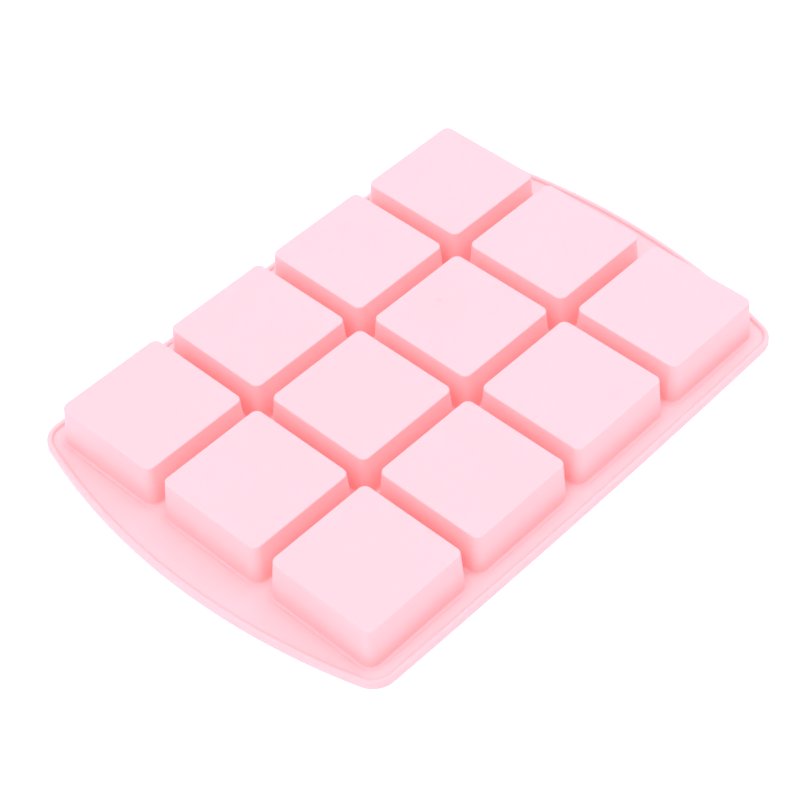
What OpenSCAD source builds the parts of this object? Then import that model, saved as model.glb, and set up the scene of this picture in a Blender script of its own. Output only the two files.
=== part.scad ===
// Silicone mould with a grid of square cups, lying with its mouths down and its cup floors up.
// It is one soft moulding. Its regions are modelled as separate solids that meet face to face:
// the sides, ends and corners of the rim bead, two side flanges, two end grips, the webs between
// the cups, and for each cup a ring of walls and a floor. Each floor is pushed down into its cup
// to free the bar that was cast in it.

/* [Cups] */
// Number of cups along the length
cup_columns = 4; // [2:1:5]
// Number of cups across the width
cup_rows = 3; // [2:1:4]
// Distance between the centres of neighbouring cups
cup_pitch = 60; // [58:0.5:70]
// Outer width of a cup where it leaves the deck
cup_base_width = 55.5; // [53:0.1:57]
// Outer width of a cup at its floor, whose sides are upright
cup_top_width = 52.3; // [50:0.1:53]
// Height of a cup above the deck
cup_height = 20; // [15:0.5:40]
// Radius of a cup's upright corners at the deck
cup_corner_radius = 4.9; // [4:0.1:8]
// Radius of the rounded edge round a cup's floor
floor_edge_radius = 1; // [0.5:0.1:1.5]

/* [Thicknesses] */
// Thickness of the flat deck that joins the cups
deck_thickness = 2.4; // [1.5:0.1:4]
// Thickness of the cup walls
wall_thickness = 1.8; // [1.2:0.1:2.2]
// Thickness of the cup floors
floor_thickness = 2; // [1.5:0.1:3]

/* [Edge] */
// Length over the two bowed ends
overall_length = 274.6; // [272:0.2:284]
// Width over the middle of the long sides
overall_width = 194; // [192:0.2:200]
// Radius of the bow at each end
end_radius = 300; // [260:5:400]
// Radius of the slight bow along each side
side_radius = 5400; // [4000:100:8000]
// Radius of the outline's four corners
outline_corner_radius = 11; // [8:0.5:14]
// Width of the rim bead
bead_width = 2.4; // [1.8:0.1:3]
// Height of the rim bead above the deck
bead_rise = 1.3; // [0.5:0.1:2]
// Radius of the bead's two upper edges
bead_edge_radius = 0.8; // [0.4:0.1:0.9]

/* [Hidden] */
silicone_pink = "#f9bccb";
bead_height = deck_thickness + bead_rise;
floor_underside = deck_thickness + cup_height - floor_thickness;
overall_height = deck_thickness + cup_height;
past = 1;                               // how far a cutting solid runs past the face that it cuts

// A cup's walls lean in by the draft, and its corners are cones about four fixed upright lines.
draft = (cup_base_width - cup_top_width) / 2 / (floor_underside - deck_thickness);
corner_offset = cup_base_width / 2 - cup_corner_radius;
function wall_radius(z) = cup_corner_radius - draft * (z - deck_thickness);

grid_half_length = cup_pitch * (cup_columns - 1) / 2 + cup_base_width / 2;
grid_half_width = cup_pitch * (cup_rows - 1) / 2 + cup_base_width / 2;
web_width = cup_pitch - cup_base_width;
cup_count = cup_columns * cup_rows;
cross_web_count = (cup_columns - 1) * cup_rows;
long_web_count = cup_rows - 1;
function column_x(column) = cup_pitch * (column - (cup_columns - 1) / 2);
function row_y(row) = cup_pitch * (row - (cup_rows - 1) / 2);
function cup_place(n) = [column_x((n - 1) % cup_columns), row_y(floor((n - 1) / cup_columns)), 0];

// The outline is four shallow arcs with their centres on the axes, joined by four corner arcs.
// A corner's centre is where circles about the end's and the side's centres cross.
end_centre = [overall_length / 2 - end_radius, 0];
side_centre = [0, overall_width / 2 - side_radius];
end_reach = end_radius - outline_corner_radius;
side_reach = side_radius - outline_corner_radius;
centres_apart = norm(side_centre - end_centre);
centres_line = (side_centre - end_centre) / centres_apart;
along = (end_reach ^ 2 - side_reach ^ 2 + centres_apart ^ 2) / (2 * centres_apart);
aside = sqrt(end_reach ^ 2 - along ^ 2);
corner_centre = end_centre + along * centres_line + aside * [-centres_line.y, centres_line.x];
end_line = (corner_centre - end_centre) / end_reach;
side_line = (corner_centre - side_centre) / side_reach;
end_angle = atan2(end_line.y, end_line.x);
side_angle = atan2(side_line.y, side_line.x);

arc_sides = 360;                        // facets in a full turn of an end arc
side_arc_sides = 5400;                  // facets in a full turn of a side arc, which spans 2 degrees
side_steps = 24;                        // straight steps in the flange's edge along a side arc
corner_sides = 64;                      // facets in a full turn of a small corner

// ---- Shapes ----

// Flat shape inside the bead: the outline moved in by the bead's width.
module inside_bead() {
    intersection() {
        translate(end_centre) circle(end_radius - bead_width, $fn = arc_sides);
        translate(-end_centre) circle(end_radius - bead_width, $fn = arc_sides);
        polygon(concat(side_and_chords(), -side_and_chords()));
    }
    for (x = [-1, 1], y = [-1, 1])
        translate([x * corner_centre.x, y * corner_centre.y])
            circle(outline_corner_radius - bead_width, $fn = corner_sides);
}

// Half of the shape that closes the deck at its sides: the chord under one corner arc, the points
// along the +Y side arc, the chord under the next corner arc, and a point clear of the -X end.
function side_and_chords() =
    let (
        corner_inside = outline_corner_radius - bead_width,
        chord_end = corner_centre + corner_inside * end_line,
        side_inside = side_radius - bead_width,
        step = (90 - side_angle) * 2 / side_steps
    )
    concat(
        [chord_end],
        [for (i = [0:side_steps]) side_centre + side_inside * turned(side_angle + i * step)],
        [[-chord_end.x, chord_end.y], [-overall_length, 0]]
    );
function turned(angle) = [cos(angle), sin(angle)];

// The bead's section, with its outer face at the given radius.
module bead_section(radius) {
    straight = bead_height - bead_edge_radius;
    translate([radius - bead_width, 0]) {
        square([bead_width, straight]);
        translate([bead_edge_radius, 0]) square([bead_width - 2 * bead_edge_radius, bead_height]);
        for (x = [bead_edge_radius, bead_width - bead_edge_radius])
            translate([x, straight]) circle(bead_edge_radius, $fn = corner_sides);
    }
}

// One stretch of the bead: its section turned about a centre, from one angle to another.
module bead_arc(centre, radius, from, to, sides) {
    translate(centre) rotate([0, 0, from])
        rotate_extrude(angle = to - from, $fn = sides) bead_section(radius);
}

// The bead along the +X end, between the corners.
module end_bead() {
    bead_arc(end_centre, end_radius, -end_angle, end_angle, arc_sides);
}

// The bead round the corner between the +X end and the +Y side.
module corner_bead() {
    bead_arc(corner_centre, outline_corner_radius, end_angle, side_angle, corner_sides);
}

// The bead along the +Y side, between the corners.
module side_bead() {
    bead_arc(side_centre, side_radius, side_angle, 180 - side_angle, side_arc_sides);
}

// A square body with round corners: the upright section, drawn outwards from the corner's centre,
// is turned about the four corner centres and runs straight between them.
module square_sweep(low, high) {
    for (turn = [0, 90]) rotate([0, 0, turn]) rotate([90, 0, 0])
        linear_extrude(2 * corner_offset, center = true) {
            translate([-corner_offset, low]) square([2 * corner_offset, high - low]);
            for (side = [0, 1]) mirror([side, 0]) translate([corner_offset, 0]) children();
        }
    for (x = [-1, 1], y = [-1, 1])
        translate([x * corner_offset, y * corner_offset, 0])
            rotate_extrude($fn = corner_sides) children();
}

// Upright section of the cup's outside, or of its inside when inset is the wall's thickness.
module leaning_section(low, high, inset) {
    polygon([[0, low], [wall_radius(low) - inset, low], [wall_radius(high) - inset, high], [0, high]]);
}

// Section of the floor: upright sides, and an upper edge rounded to meet both faces.
module floor_section() {
    side = wall_radius(floor_underside);
    bend_height = overall_height - floor_edge_radius;
    bend_reach = side - floor_edge_radius;
    square_from_to([0, floor_underside], [side, bend_height]);
    square_from_to([0, floor_underside], [bend_reach, overall_height]);
    translate([bend_reach, bend_height]) circle(floor_edge_radius, $fn = corner_sides);
}

module square_from_to(low, high) {
    translate(low) square(high - low);
}

module cavity() {
    square_sweep(-past, floor_underside + past)
        leaning_section(-past, floor_underside + past, wall_thickness);
}

// ---- Sub-parts ----

module rim_front() {
    color(silicone_pink) mirror([0, 1, 0]) side_bead();
}

module rim_back() {
    color(silicone_pink) side_bead();
}

module rim_left() {
    color(silicone_pink) mirror([1, 0, 0]) end_bead();
}

module rim_right() {
    color(silicone_pink) end_bead();
}

module rim_corner_front_left() {
    color(silicone_pink) rotate([0, 0, 180]) corner_bead();
}

module rim_corner_front_right() {
    color(silicone_pink) mirror([0, 1, 0]) corner_bead();
}

module rim_corner_back_left() {
    color(silicone_pink) mirror([1, 0, 0]) corner_bead();
}

module rim_corner_back_right() {
    color(silicone_pink) corner_bead();
}

// The strip of deck beyond the last row of cups, on the +Y side.
module side_flange() {
    linear_extrude(deck_thickness) intersection() {
        inside_bead();
        square_from_to([-grid_half_length, grid_half_width], [grid_half_length, overall_width]);
    }
}

module flange_front() {
    color(silicone_pink) mirror([0, 1, 0]) side_flange();
}

module flange_back() {
    color(silicone_pink) side_flange();
}

// The bowed part of the deck beyond the last column of cups, on the +X end, where a hand holds it.
module end_grip() {
    linear_extrude(deck_thickness) intersection() {
        inside_bead();
        square_from_to([grid_half_length, -overall_width], [overall_length, overall_width]);
    }
}

module grip_left() {
    color(silicone_pink) mirror([1, 0, 0]) end_grip();
}

module grip_right() {
    color(silicone_pink) end_grip();
}

// The strip of deck between two rows of cups, over the whole grid.
module long_web(n) {
    color(silicone_pink) translate([0, row_y(n - 0.5), deck_thickness / 2])
        cube([2 * grid_half_length, web_width, deck_thickness], center = true);
}

// The short strip of deck between two neighbouring cups of one row.
module cross_web(n) {
    gap = (n - 1) % (cup_columns - 1);
    row = floor((n - 1) / (cup_columns - 1));
    color(silicone_pink) translate([column_x(gap + 0.5), row_y(row), deck_thickness / 2])
        cube([web_width, cup_base_width, deck_thickness], center = true);
}

// The four walls of a cup and its root in the deck, which is square where it meets the webs.
module cup_wall(n) {
    color(silicone_pink) translate(cup_place(n)) difference() {
        union() {
            translate([0, 0, deck_thickness / 2])
                cube([cup_base_width, cup_base_width, deck_thickness], center = true);
            square_sweep(deck_thickness, floor_underside)
                leaning_section(deck_thickness, floor_underside, 0);
        }
        cavity();
    }
}

// The floor of a cup, which stands on the walls and is pushed down through the mouth.
module cup_floor(n) {
    color(silicone_pink) translate(cup_place(n))
        square_sweep(floor_underside, overall_height) floor_section();
}

rim_front();
rim_back();
rim_left();
rim_right();
rim_corner_front_left();
rim_corner_front_right();
rim_corner_back_left();
rim_corner_back_right();
flange_front();
flange_back();
grip_left();
grip_right();
for (n = [1:long_web_count]) long_web(n);
for (n = [1:cross_web_count]) cross_web(n);
for (n = [1:cup_count]) cup_wall(n);
for (n = [1:cup_count]) cup_floor(n);
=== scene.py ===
"""Silicone mould with twelve square cups, lying with its mouths down on a pale studio table.

Lengths are millimetres in the frame of the CAD part, and become metres when a mesh is made.
The moulding is one soft skin in three kinds of piece, which meet flush on the flat deck: the
rim bead, the deck plate, and twelve hollow cups with their feet and mouths.
"""

import bmesh
import bpy
import numpy as np
from mathutils import Matrix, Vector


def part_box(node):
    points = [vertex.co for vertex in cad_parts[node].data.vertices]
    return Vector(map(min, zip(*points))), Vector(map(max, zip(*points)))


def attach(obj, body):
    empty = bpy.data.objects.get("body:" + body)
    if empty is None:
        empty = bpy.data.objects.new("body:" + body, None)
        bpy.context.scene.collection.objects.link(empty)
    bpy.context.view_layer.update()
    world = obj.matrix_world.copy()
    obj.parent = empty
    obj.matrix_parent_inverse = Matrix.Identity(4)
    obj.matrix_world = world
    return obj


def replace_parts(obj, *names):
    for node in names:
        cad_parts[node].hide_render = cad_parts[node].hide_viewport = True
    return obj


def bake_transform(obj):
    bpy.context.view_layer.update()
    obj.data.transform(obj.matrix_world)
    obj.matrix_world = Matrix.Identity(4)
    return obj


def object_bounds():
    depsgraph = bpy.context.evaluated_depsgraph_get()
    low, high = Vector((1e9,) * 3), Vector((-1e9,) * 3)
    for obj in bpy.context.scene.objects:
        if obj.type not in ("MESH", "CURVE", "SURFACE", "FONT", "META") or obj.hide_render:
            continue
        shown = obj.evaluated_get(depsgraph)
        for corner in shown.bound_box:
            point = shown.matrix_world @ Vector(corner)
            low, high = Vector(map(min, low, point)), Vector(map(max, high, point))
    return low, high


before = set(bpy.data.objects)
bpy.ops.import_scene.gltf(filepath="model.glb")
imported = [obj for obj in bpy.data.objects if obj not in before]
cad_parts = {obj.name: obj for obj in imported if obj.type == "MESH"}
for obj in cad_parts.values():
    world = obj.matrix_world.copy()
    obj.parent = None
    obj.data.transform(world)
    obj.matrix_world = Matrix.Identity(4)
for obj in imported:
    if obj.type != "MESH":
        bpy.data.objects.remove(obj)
cad_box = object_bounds()

# ---- Sizes, in millimetres ----

MM = 0.001
deck_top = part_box("long_web_1")[1].z / MM
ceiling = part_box("cup_floor_1")[0].z / MM  # the inside of a cup's floor
cup_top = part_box("cup_floor_1")[1].z / MM
cup_half = (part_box("cup_wall_1")[1].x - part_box("cup_wall_1")[0].x) / 2 / MM
bead_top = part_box("rim_front")[1].z / MM
half_length = cad_box[1].x / MM
half_width = cad_box[1].y / MM

columns, rows, pitch = 4, 3, 60.0
corner_radius = 4.9  # a cup's upright corners, at the deck
wall = 1.8
draft = 0.085  # how far a wall leans in for each millimetre of height
foot_radius = 1.0  # hollow where a wall meets the deck
edge_radius = 0.6  # rounding round a cup's floor
mouth_radius = 0.8  # rounding of a mouth's lip
ceiling_radius = 1.2  # hollow inside, where the walls meet the floor
seam = 6.05  # from a corner's centre to where the cup piece ends on the flat deck
floor_flat = 0.15  # flat strip kept beside the rounding, inside and outside

# Painted shade: low on the cups' walls and on the deck beside them, the base colour is mixed towards a
# deeper salmon. This stands in for the shade at the walls' feet.
root_full = 4.0  # height up to which the painted shade is full on the walls
root_top = 15.0  # height at which the painted shade on the walls has faded out
root_foot = 1.6  # height above the deck over which the painted shade weakens down the hollow foot
root_left = 0.4  # share of the painted shade that is left at the deck
root_reach = 4.5  # how far the painted shade reaches onto the deck from a cup

gate_cup, gate_place = 7, np.array([30.0, 13.0])  # where the silicone was let into the mould
gate_pip, gate_dish, gate_depth = 0.6, 1.9, 0.4

end_radius, side_radius, outline_corner = 300.0, 5400.0, 11.0
bead_width = 2.4
bead_edge = 1.1  # rounding of the bead's two upper edges
bead_bottom = 0.3  # rounding of its lower outer edge
bead_foot = 0.3  # hollow where the bead meets the deck
deck_inset = 3.0  # from the outline to where the deck plate ends
cell_margin = 0.6  # deck kept round the outer cups before the border begins
cup_centre = cup_half - corner_radius  # from a cup's middle to its corners' centres, along X and Y
grid_half = pitch / 2 * (np.array([columns, rows]) - 1) + cup_half - corner_radius + seam + cell_margin

SIDE_STEPS = 36  # points along one side of a cup, of which a third lie on its corners
CORNER_STEPS = 9  # points along half of an outline corner
SHARP = 40  # degrees, the least bend between two faces that stays a sharp edge

table_half = 3000.0  # from the middle of the table to its edges


# ---- Shapes ----


def bend(centre, radius, start, end, steps):
    """Points of a circular arc: the centre plus the radius times (cos a, sin a), with the angle a
    going evenly from start to end in degrees."""
    a = np.radians(np.linspace(start, end, steps + 1))
    return np.asarray(centre) + radius * np.stack([np.cos(a), np.sin(a)], 1)


def line(start, end, steps):
    """Points spaced evenly on the straight line from start to end."""
    return np.linspace(start, end, steps + 1)


def square_ring(corner_centre):
    """A square with round corners as three closed rings of plane vectors: the foot point, the
    outward direction, and the matching point of a sharp square from -1 to 1.

    On each side u goes from -1 to 1, corner to corner. Over the middle two thirds the foot point
    runs straight between the corner centres; beyond them it waits at a corner centre while the
    direction turns by 45 degrees. The four sides are the first one turned by quarter turns."""
    t = np.arange(4 * SIDE_STEPS + 1) / SIDE_STEPS
    quarter, u = np.floor(t) % 4, 2 * (t % 1) - 1
    straight = np.clip(1.5 * u, -1, 1)
    turn = np.sign(u) * np.clip(3 * np.abs(u) - 2, 0, 1) * np.pi / 4
    c, s = np.cos(quarter * np.pi / 2), np.sin(quarter * np.pi / 2)

    def turned(x, y):
        return np.stack([c * x - s * y, s * x + c * y], 1)

    foot = turned(np.full_like(u, corner_centre), corner_centre * straight)
    return foot, turned(np.cos(turn), np.sin(turn)), turned(np.ones_like(u), u)


def outline_ring():
    """The outline as rings of arc centres, radii and directions, so that any inset of it is the
    centre plus (radius - inset) times the direction.

    It starts within the corner between +X and -Y and goes anticlockwise. A corner's centre lies
    where a circle about the end's centre and one about the side's centre cross. Each of the four
    runs is part of a corner, the whole shallow arc, and part of the next corner, and they meet
    where the line from a corner's centre through the corner of the grid of cups does."""
    end_centre = np.array([half_length - end_radius, 0])
    side_centre = np.array([0, half_width - side_radius])
    end_reach, side_reach = end_radius - outline_corner, side_radius - outline_corner
    apart = side_centre - end_centre
    distance = np.linalg.norm(apart)
    along = (end_reach**2 - side_reach**2 + distance**2) / (2 * distance)
    aside = np.sqrt(end_reach**2 - along**2)
    unit = apart / distance
    corner = end_centre + along * unit + aside * np.array([-unit[1], unit[0]])
    low = np.degrees(np.arctan2(*(corner - end_centre)[::-1]))
    high = np.degrees(np.arctan2(*(corner - side_centre)[::-1]))
    middle = np.degrees(np.arctan2(*(grid_half - corner)[::-1]))

    def run(corner_a, corner_b, arc_centre, radius, a, b, c, d, steps):
        """Part of a corner from angle a to b, the arc from b to c, part of a corner to d."""
        arcs = [
            (corner_a, outline_corner, a, b, CORNER_STEPS),
            (arc_centre, radius, b, c, steps - 2 * CORNER_STEPS),
            (corner_b, outline_corner, c, d, CORNER_STEPS),
        ]
        angle = np.concatenate([np.linspace(x[2], x[3], x[4], endpoint=False) for x in arcs])
        where = np.concatenate([np.tile(x[0], (x[4], 1)) for x in arcs])
        size = np.concatenate([np.full(x[4], float(x[1])) for x in arcs])
        return where, size, angle

    x, y = corner
    far_x, far_y = end_centre[0], side_centre[1]
    long_run, short_run = columns * SIDE_STEPS, rows * SIDE_STEPS
    runs = [
        run((x, -y), (x, y), (far_x, 0), end_radius,
            -middle, -low, low, middle, short_run),
        run((x, y), (-x, y), (0, far_y), side_radius,
            middle, high, 180 - high, 180 - middle, long_run),
        run((-x, y), (-x, -y), (-far_x, 0), end_radius,
            180 - middle, 180 - low, 180 + low, 180 + middle, short_run),
        run((-x, -y), (x, -y), (0, -far_y), side_radius,
            180 + middle, 180 + high, 360 - high, 360 - middle, long_run),
    ]
    where, size, angle = (np.concatenate([r[i] for r in runs]) for i in range(3))
    direction = np.stack([np.cos(np.radians(angle)), np.sin(np.radians(angle))], 1)
    return tuple(np.concatenate([a, a[:1]]) for a in (where, size, direction))


def raised(ring, height):
    """A ring or a flat grid of plane points as points in space at one height."""
    return np.concatenate([ring, np.full(ring.shape[:-1] + (1,), height)], -1)


def between(ring_a, ring_b, steps):
    """A grid of points on the straight lines from each point of one ring to its partner."""
    share = np.linspace(0, 1, steps + 1)[:, None, None]
    return (1 - share) * ring_a + share * ring_b


def skin(name, grids, material):
    """One closed mesh from grids of points in millimetres. Neighbouring points of a grid make its
    quads, points that round to the same micrometre become one, and a quad that has lost a corner
    becomes a triangle. Before rounding, the points are shifted by an eighth of a micrometre,
    because many of them lie half-way between two whole ones."""
    points = np.concatenate([g.reshape(-1, 3) for g in grids])
    quads, start = [], 0
    for g in grids:
        index = start + np.arange(g.shape[0] * g.shape[1]).reshape(g.shape[:2])
        corners = [index[:-1, :-1], index[:-1, 1:], index[1:, 1:], index[1:, :-1]]
        quads.append(np.stack(corners, -1).reshape(-1, 4))
        start += index.size
    _, first, same = np.unique(
        np.round(points * 1000 + 0.1234).astype(np.int64), axis=0, return_index=True, return_inverse=True
    )
    quads = same.reshape(-1)[np.concatenate(quads)]
    real = quads != np.roll(quads, -1, 1)
    quads, real = quads[real.sum(1) > 2], real[real.sum(1) > 2]
    faces = np.split(quads[real], np.cumsum(real.sum(1))[:-1])
    mesh = bpy.data.meshes.new(name)
    mesh.from_pydata(points[first] * MM, [], faces)
    shell = bmesh.new()
    shell.from_mesh(mesh)
    bmesh.ops.recalc_face_normals(shell, faces=shell.faces)
    shell.to_mesh(mesh)
    shell.free()
    mesh.polygons.foreach_set("use_smooth", np.ones(len(mesh.polygons), bool))
    mesh.set_sharp_from_angle(angle=np.radians(SHARP))
    mesh.materials.append(material)
    piece = bpy.data.objects.new(name, mesh)
    bpy.context.scene.collection.objects.link(piece)
    return piece


def all_round(ring, height):
    """A section carried round: one ring of plane points for each of its heights."""
    return np.concatenate([ring, np.broadcast_to(height[:, None, None], ring.shape[:2] + (1,))], -1)


# ---- Pieces ----


def cup_profile():
    """The upright section of a cup as distances outwards from the ring of corner centres and
    heights, from the edge of its top, down outside, and up inside to the edge of its ceiling.

    The outside leans by the draft. A rounding or a hollow is an arc that touches both faces: its
    centre is one radius from each. The inside is the outside moved in by the wall."""
    lean = np.degrees(np.arctan(draft))
    cos, sin = np.cos(np.radians(lean)), np.sin(np.radians(lean))

    def face(z, inset=0.0):
        return corner_radius - draft * (z - deck_top) - inset

    def centre(z, radius, side, inset=0.0):
        touch = z + side * radius * -sin
        return [face(touch, inset) + side * radius * cos, z]

    edge = centre(cup_top - edge_radius, edge_radius, -1)
    foot = centre(deck_top + foot_radius, foot_radius, 1)
    lip = centre(mouth_radius, mouth_radius, 1, wall)
    inner = centre(ceiling - ceiling_radius, ceiling_radius, -1, wall)
    round_edge = bend(edge, edge_radius, 90, lean, 8)
    hollow_foot = bend(foot, foot_radius, 180 + lean, 270, 8)
    round_lip = bend(lip, mouth_radius, 270, 180 + lean, 7)
    hollow_inside = bend(inner, ceiling_radius, lean, 90, 7)
    section = [
        line([0, cup_top], [edge[0] - floor_flat, cup_top], 2),
        round_edge,
        line(round_edge[-1], hollow_foot[0], 20)[1:-1],
        hollow_foot,
        [[seam, deck_top], [seam, 0]],
        round_lip,
        line(round_lip[-1], hollow_inside[0], 18)[1:-1],
        hollow_inside,
        line([inner[0] - floor_flat, ceiling], [0, ceiling], 1),
    ]
    return np.concatenate(section).T


def cap(ring, height, centre, mark=((0, 0),)):
    """Closes a cup's top or ceiling: circles about a point, given as pairs of radius and depth
    below the face, then straight lines from the last circle to the ring. Each circle's points lie
    in the directions of the ring's points, seen from its centre."""
    towards = ring - centre
    towards = towards / np.linalg.norm(towards, axis=1)[:, None]
    radius, depth = np.array(mark, float).T
    circles = centre + radius[:, None, None] * towards
    return [all_round(circles, height - depth), raised(between(circles[-1], ring, 13), height)]


def gate_mark():
    """The trace of the gate, as pairs of radius and depth: a round pip in the middle of a shallow
    dish. From the pip's top, level with the face, the depth grows as 1 minus the cosine over a
    quarter turn. From there to the dish's edge it shrinks as 1 plus the cosine over a half turn."""
    radius = np.linspace(0, 1, 9) ** 0.7 * gate_pip
    dish = np.linspace(gate_pip, gate_dish, 11)
    pip = gate_depth - gate_depth * np.cos(radius / gate_pip * np.pi / 2)
    rise = gate_depth * (1 + np.cos((dish - gate_pip) / (gate_dish - gate_pip) * np.pi)) / 2
    return np.concatenate([np.stack([radius, pip], 1), np.stack([dish, rise], 1)[1:]])


def mark_root(piece):
    """Paints shade low on the walls and on the deck beside the cups, as the point attribute
    root, which the silicone mixes towards a deeper salmon. It stands in for the shade at
    the walls' feet. It is 1 low on the walls and fades smoothly to 0 from root_full up to
    root_top. Down the hollow foot it drops to root_left, and on the deck it fades to
    0 over root_reach from the nearest cup's outline, a square with round corners. Each
    fade is smooth: 3 f squared minus 2 f cubed."""
    place = np.empty(3 * len(piece.data.vertices))
    piece.data.vertices.foreach_get("co", place)
    x, y, height = place.reshape(-1, 3).T / MM
    side = []
    for along, count in ((x, columns), (y, rows)):
        half = (count - 1) / 2
        nearest = np.clip(np.round(along / pitch + half), 0, count - 1) - half
        side.append(np.abs(along - pitch * nearest) - cup_centre)
    away = np.hypot(*np.maximum(side, 0)) - corner_radius
    fades = [
        np.clip((root_top - height) / (root_top - root_full), 0, 1),
        np.clip((height - deck_top) / root_foot, 0, 1),
        1 - np.clip(away / root_reach, 0, 1),
    ]
    up, foot, out = (f**2 * (3 - 2 * f) for f in fades)
    # painted shade: strongest low on the walls, weaker down the hollow foot, fading out on the deck
    shade_amount = up * (root_left + (1 - root_left) * foot) * out
    piece.data.attributes.new("root", "FLOAT", "POINT").data.foreach_set("value", shade_amount)


def make_cup(n, material):
    """A cup: its section, carried round a square ring about the cup's centre, and its two caps."""
    low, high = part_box(f"cup_floor_{n}")
    middle = np.array([(low.x + high.x) / 2, (low.y + high.y) / 2]) / MM
    foot, outwards, _ = square_ring(cup_centre)
    reach, height = cup_profile()
    ring = middle + foot + reach[:, None, None] * outwards
    marked = [gate_place, gate_mark()] if n == gate_cup else [middle]
    caps = cap(ring[0], cup_top, *marked) + cap(ring[-1], ceiling, middle)
    cup = skin(f"cup_skin_{n}", [all_round(ring, height), *caps], material)
    # paints shade on the cup: a darker, redder colour low on its walls
    mark_root(cup)
    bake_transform(cup)
    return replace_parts(cup, f"cup_wall_{n}", f"cup_floor_{n}")


def make_rim(material):
    """The rim bead: its closed section, as insets from the outline and heights, carried round
    the outline."""
    where, size, direction = outline_ring()
    section = np.concatenate([
        bend([bead_bottom, bead_bottom], bead_bottom, -90, -180, 3),
        bend([bead_edge, bead_top - bead_edge], bead_edge, 180, 90, 7),
        bend([bead_width - bead_edge, bead_top - bead_edge], bead_edge, 90, 0, 7),
        bend([bead_width + bead_foot, deck_top + bead_foot], bead_foot, 180, 270, 5),
        [[deck_inset, deck_top], [deck_inset, 0], [bead_bottom, 0]],
    ])
    inset, height = section.T
    ring = where + (size - inset[:, None])[..., None] * direction
    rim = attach(skin("rim_bead_skin", [all_round(ring, height)], material), "mould")
    ends = ["front", "back", "left", "right"]
    corners = [f"corner_{a}_{b}" for a in ("front", "back") for b in ("left", "right")]
    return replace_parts(rim, *[f"rim_{e}" for e in ends + corners])


def make_deck(material):
    """The deck plate. Its plan is twelve cells and a border. A cell fills the space between a
    cup's ring and the cell's rectangle with straight lines from each ring point to its partner
    on the rectangle. The border fills the space between the rectangle round all the cells and
    the outline in the same way. The plan is used at both heights, and upright strips join them
    at every ring."""
    foot, outwards, square = square_ring(cup_centre)
    cell_x = pitch * (np.arange(columns + 1) - columns / 2)
    cell_y = pitch * (np.arange(rows + 1) - rows / 2)
    cell_x[[0, -1]], cell_y[[0, -1]] = np.outer(grid_half, [-1, 1])
    plan, edges = [], []
    for column in range(columns):
        for row in range(rows):
            low = np.array([cell_x[column], cell_y[row]])
            high = np.array([cell_x[column + 1], cell_y[row + 1]])
            middle = pitch * (np.array([column, row]) - (np.array([columns, rows]) - 1) / 2)
            hole = middle + foot + seam * outwards
            plan.append(between(hole, (low + high) / 2 + square * (high - low) / 2, 2))
            edges.append(hole)
    share = np.arange(SIDE_STEPS) / SIDE_STEPS
    x = (cell_x[:-1, None] + share * np.diff(cell_x)[:, None]).ravel()
    y = (cell_y[:-1, None] + share * np.diff(cell_y)[:, None]).ravel()
    sides = [
        np.stack([0 * y + cell_x[-1], y], 1),
        np.stack([-x, 0 * x + cell_y[-1]], 1),
        np.stack([0 * y + cell_x[0], -y], 1),
        np.stack([x, 0 * x + cell_y[0]], 1),
        [[cell_x[-1], cell_y[0]]],
    ]
    where, size, direction = outline_ring()
    outline = where + (size - deck_inset)[:, None] * direction
    plan.append(between(np.concatenate(sides), outline, 9))
    edges.append(outline)
    grids = [raised(g, z) for g in plan for z in (0.0, deck_top)]
    grids += [between(raised(e, 0.0), raised(e, deck_top), 1) for e in edges]
    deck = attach(skin("deck_skin", grids, material), "mould")
    # paints shade on the deck beside each cup: a darker, redder colour near the walls' feet
    mark_root(deck)
    names = ["flange_front", "flange_back", "grip_left", "grip_right"]
    names += [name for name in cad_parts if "_web_" in name]
    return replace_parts(deck, *names)


# ---- Materials ----


def linear(code, alpha=1.0):
    """An sRGB hex colour as linear light."""
    c = np.array([int(code[i : i + 2], 16) for i in (1, 3, 5)]) / 255
    return (*np.where(c <= 0.04045, c / 12.92, ((c + 0.055) / 1.055) ** 2.4), alpha)


def add(tree, kind, settings=None, inputs=None, links=None):
    """Adds a node, sets its properties and sockets, and links sockets from (node, output)."""
    node = tree.nodes.new(kind)
    for key, value in (settings or {}).items():
        setattr(node, key, value)
    for key, value in (inputs or {}).items():
        node.inputs[key].default_value = value
    for key, (source, output) in (links or {}).items():
        tree.links.new(source.outputs[output], node.inputs[key])
    return node


def new_material(name):
    """A material with an empty node tree, and the tree."""
    material = bpy.data.materials.new(name)
    material.use_nodes = True
    material.node_tree.nodes.clear()
    return material, material.node_tree


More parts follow.
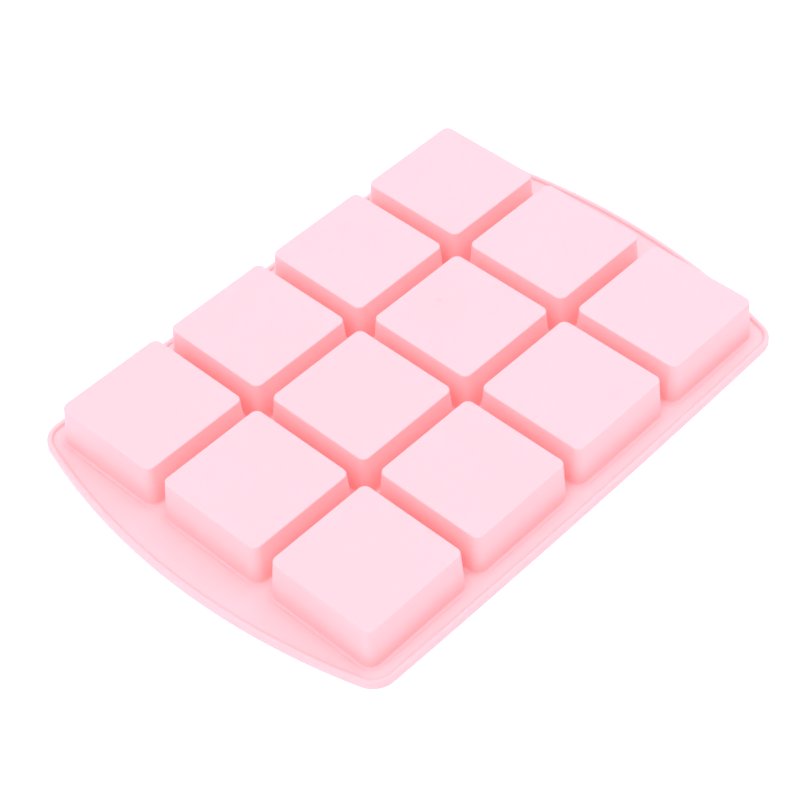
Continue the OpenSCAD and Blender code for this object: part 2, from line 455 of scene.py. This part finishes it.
def moulded_silicone():
    """Platinum-cured silicone, coloured through and pressed in a finely blasted steel mould: the
    eye gets a pale milky pink with a soft satin sheen, no hard highlights, and a very fine matt
    grain. Light goes 2 to 3 mm into it and comes out redder. Low on the walls and on the deck
    beside the cups, the base colour is painted deeper as painted shade for the walls' feet. The
    grain is about 0.3 mm, a little coarser than the real one so that it shows."""
    material, tree = new_material("moulded pink silicone")
    place = add(tree, "ShaderNodeTexCoord")
    cloud = add(tree, "ShaderNodeTexNoise", inputs={"Scale": 22.0, "Detail": 3.0, "Roughness": 0.5},
                links={"Vector": (place, "Object")})
    tint = add(tree, "ShaderNodeValToRGB", links={"Fac": (cloud, "Fac")})
    tint.color_ramp.elements[0].position, tint.color_ramp.elements[1].position = 0.3, 0.7
    tint.color_ramp.elements[0].color = linear("#fcb3a9")
    tint.color_ramp.elements[1].color = linear("#fcb5ab")
    grain = add(tree, "ShaderNodeTexNoise", inputs={"Scale": 3300.0, "Detail": 2.0, "Roughness": 0.6},
                links={"Vector": (place, "Object")})
    sheen = add(tree, "ShaderNodeMapRange", inputs={"To Min": 0.46, "To Max": 0.56},
                links={"Value": (cloud, "Fac")})
    bump = add(tree, "ShaderNodeBump", inputs={"Strength": 0.25, "Distance": 0.00003},
               links={"Height": (grain, "Fac")})
    # Painted shade: the shade attribute of each piece, halved, mixes the base colour towards a deeper salmon
    # (#fb9c93) low on the walls and on the deck beside the cups.
    root = add(tree, "ShaderNodeAttribute", {"attribute_name": "root"})
    foot_shade_share = add(tree, "ShaderNodeMath", {"operation": "MULTIPLY"}, {1: 0.5}, {0: (root, "Fac")})
    depth = add(tree, "ShaderNodeMixRGB", inputs={"Color2": linear("#fb9c93")},
                links={"Fac": (foot_shade_share, "Value"), "Color1": (tint, "Color")})
    body = add(tree, "ShaderNodeBsdfPrincipled",
               inputs={"IOR": 1.41, "Metallic": 0.0, "Subsurface Weight": 0.5, "Subsurface Scale": 0.003,
                       "Subsurface Radius": (1.0, 0.5, 0.45)},
               links={"Base Color": (depth, "Color"), "Roughness": (sheen, "Result"),
                      "Normal": (bump, "Normal")})
    add(tree, "ShaderNodeOutputMaterial", links={"Surface": (body, "BSDF")})
    return material


def opal_table():
    """Opal acrylic sheet with a sanded face, lit a little from below with the same cool light as
    the tent: the eye gets an even white with no shine, in which only very soft shadows show. The
    sanding is about 1 mm across, coarser than the real one so that it shows."""
    material, tree = new_material("sanded opal acrylic, lit from below")
    place = add(tree, "ShaderNodeTexCoord")
    pores = add(tree, "ShaderNodeTexNoise", inputs={"Scale": 900.0, "Detail": 2.0},
                links={"Vector": (place, "Object")})
    tint = add(tree, "ShaderNodeValToRGB", links={"Fac": (pores, "Fac")})
    tint.color_ramp.elements[0].color = linear("#f6f6f6")
    tint.color_ramp.elements[1].color = linear("#f9f9f9")
    body = add(tree, "ShaderNodeBsdfPrincipled",
               inputs={"Roughness": 0.9, "Specular IOR Level": 0.1,
                       "Emission Color": linear("#e0e0ff"), "Emission Strength": 0.27},
               links={"Base Color": (tint, "Color")})
    add(tree, "ShaderNodeOutputMaterial", links={"Surface": (body, "BSDF")})
    return material


# ---- Studio ----


def make_table():
    """A flat table under the mould, far larger than the view."""
    corners = np.array([[-1, -1, 0], [1, -1, 0], [1, 1, 0], [-1, 1, 0]]) * table_half
    mesh = bpy.data.meshes.new("table")
    mesh.from_pydata(corners * MM, [], [(0, 1, 2, 3)])
    mesh.materials.append(opal_table())
    table = bpy.data.objects.new("table", mesh)
    bpy.context.scene.collection.objects.link(table)


def make_camera():
    """A 100 mm lens seen from the front left corner, 47 degrees above the table and rolled a
    little. The camera stands back along its own axis from a point beside the middle of the
    cups' tops."""
    azimuth, elevation, roll = np.radians([-45.012, 46.99, -2.634])
    back = np.array([
        np.sin(azimuth) * np.cos(elevation), -np.cos(azimuth) * np.cos(elevation), np.sin(elevation)
    ])
    right = np.array([np.cos(azimuth), np.sin(azimuth), 0.0])
    up = np.cross(back, right)
    c, s = np.cos(roll), np.sin(roll)
    turn = np.stack([c * right + s * up, c * up - s * right, back], 1)
    place = turn @ np.array([-0.004946, -0.019233, 0.915086]) + np.array([0, 0, cup_top * MM])
    camera = bpy.data.cameras.new("camera")
    camera.lens, camera.sensor_width = 100.375, 36.0
    camera.clip_start, camera.clip_end = 0.05, 50.0
    holder = bpy.data.objects.new("camera", camera)
    holder.matrix_world = Matrix.Translation(place) @ Matrix(turn.tolist()).to_4x4()
    bpy.context.scene.collection.objects.link(holder)
    bpy.context.scene.camera = holder


def make_light():
    """A white tent with a broad soft box on the left, one on the right and one overhead, a weak
    one behind and in front, one under the table for a view without it, and a little light from
    all round. A box's brightness is a power of the cosine of the angle away from its middle, and
    nothing beyond a right angle. The lamps are cool. The tent's own wall looks white. The
    display's curve lifts the darker tones."""
    boxes = [  # where its middle is, power, strength
        ((-1, 0, 0.85), 4.0, 1.74),
        ((1, 0, 1), 4.0, 1.85),
        ((0, 0, 1), 4.0, 1.15),
        ((0, 1, 1), 4.0, 0.22),
        ((0, -1, 1), 4.0, 0.38),
        ((0, 0, -1), 1.0, 1.5),
    ]
    scene = bpy.context.scene
    scene.world = bpy.data.worlds.new("white tent")
    scene.world.use_nodes = True
    tree = scene.world.node_tree
    tree.nodes.clear()
    place = add(tree, "ShaderNodeTexCoord")
    total = add(tree, "ShaderNodeValue")
    total.outputs["Value"].default_value = 0.05  # light from all round
    for towards, power, strength in boxes:
        middle = np.array(towards) / np.linalg.norm(towards)
        cosine = add(tree, "ShaderNodeVectorMath", {"operation": "DOT_PRODUCT"}, {1: middle},
                     {0: (place, "Generated")})
        ahead = add(tree, "ShaderNodeMath", {"operation": "MAXIMUM"}, {1: 0.0}, {0: (cosine, "Value")})
        glow = add(tree, "ShaderNodeMath", {"operation": "POWER"}, {1: power}, {0: (ahead, "Value")})
        total = add(tree, "ShaderNodeMath", {"operation": "MULTIPLY_ADD"}, {1: strength},
                    {0: (glow, "Value"), 2: (total, "Value")})
    lamps = add(tree, "ShaderNodeBackground", inputs={"Color": (1.0, 1.0, 1.346, 1.0)},
                links={"Strength": (total, "Value")})
    wall_of_tent = add(tree, "ShaderNodeBackground", inputs={"Color": (1.0, 1.0, 1.0, 1.0)})
    path = add(tree, "ShaderNodeLightPath")
    tent = add(tree, "ShaderNodeMixShader",
               links={0: (path, "Is Camera Ray"), 1: (lamps, "Background"), 2: (wall_of_tent, "Background")})
    add(tree, "ShaderNodeOutputWorld", links={"Surface": (tent, "Shader")})
    scene.view_settings.view_transform = "Standard"
    scene.view_settings.look = "None"
    scene.view_settings.gamma = 1.45
    scene.cycles.diffuse_bounces = 12
    scene.cycles.max_bounces = 16


silicone = moulded_silicone()
make_rim(silicone)
make_deck(silicone)
for n in range(1, columns * rows + 1):
    make_cup(n, silicone)
make_table()
make_camera()
make_light()
